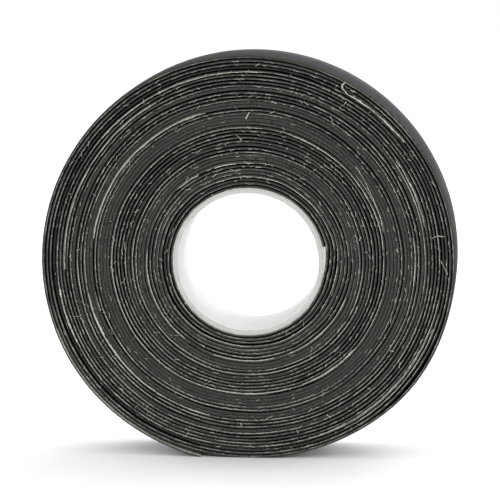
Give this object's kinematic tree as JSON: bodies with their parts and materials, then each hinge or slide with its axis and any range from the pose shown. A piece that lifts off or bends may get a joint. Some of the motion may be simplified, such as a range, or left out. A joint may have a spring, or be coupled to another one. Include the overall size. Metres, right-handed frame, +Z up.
{
  "type": "grip tape roll",
  "caption": "Roll of dark rubber-coated cloth grip tape on a white paperboard core, standing on its edge, with a free end that peels.",
  "frame": {"origin": "middle of the small flat the roll stands on, straight below the core's axis and halfway across the tape's width", "axes": "+Z up; +Y along the roll's axis, away from the front end; +X to the right as seen from the front. The tape winds counter-clockwise as seen from the front."},
  "size_m": [0.1141, 0.0255, 0.1112],
  "materials": {
    "core_paper": "white spiral-wound paperboard, matte, its cut end slightly grey",
    "liner_paper": "smooth white paper liner inside the bore",
    "tape_coat": "dark grey rubber coat on cloth, faint weave showing through, satin",
    "tape_edge": "slit edge of rubber-coated cloth, matte grey-green and black with frayed off-white cotton",
    "cotton_cloth": "off-white cotton cloth with a tacky dark adhesive, frayed at the slit edges"
  },
  "bodies": {
    "root": {"core_inner_ply": "liner_paper", "core_body_ply": "core_paper", "core_outer_ply": "core_paper", "tape_lead_end": "tape_edge", "tape_inner_smooth_ring": "tape_edge", "tape_inner_flecked_ring": "tape_edge", "tape_inner_stepped_ring": "tape_edge", "tape_thread_ring": "tape_edge", "tape_second_stepped_ring": "tape_edge", "tape_narrow_smooth_ring": "tape_edge", "tape_third_stepped_ring": "tape_edge", "tape_bright_line_ring": "tape_edge", "tape_wide_ring_inner": "tape_edge", "tape_wide_ring_outer": "tape_edge", "tape_cream_line_ring": "tape_edge", "tape_fourth_smooth_ring": "tape_edge", "tape_bright_stepped_ring": "tape_edge", "tape_dark_smooth_ring": "tape_edge", "tape_outer_stepped_ring": "tape_edge", "tape_outer_flecked_ring": "tape_edge", "tape_recessed_ring": "tape_edge", "tape_rim_turns": "tape_edge", "tape_outermost_turn": "tape_coat"},
    "tail_1": {"tail_1_cloth": "cotton_cloth", "tail_1_coat": "tape_coat"},
    "tail_2": {"tail_2_cloth": "cotton_cloth", "tail_2_coat": "tape_coat"},
    "tail_3": {"tail_3_cloth": "cotton_cloth", "tail_3_coat": "tape_coat"}
  },
  "joints": [
    {"name": "peel_1", "type": "hinge", "parent": "root", "child": "tail_1", "pos_m": [-0.05233, 0, 0.03144], "axis": [0, 1, 0], "range_deg": [0, 60]},
    {"name": "peel_2", "type": "hinge", "parent": "tail_1", "child": "tail_2", "pos_m": [-0.04242, 0, 0.01654], "axis": [0, 1, 0], "range_deg": [0, 60]},
    {"name": "peel_3", "type": "hinge", "parent": "tail_2", "child": "tail_3", "pos_m": [-0.02836, 0, 0.00562], "axis": [0, 1, 0], "range_deg": [0, 60]}
  ],
  "couplings": [
    {"joint": "peel_2", "follows": "peel_1", "ratio": 1},
    {"joint": "peel_3", "follows": "peel_1", "ratio": 1}
  ]
}
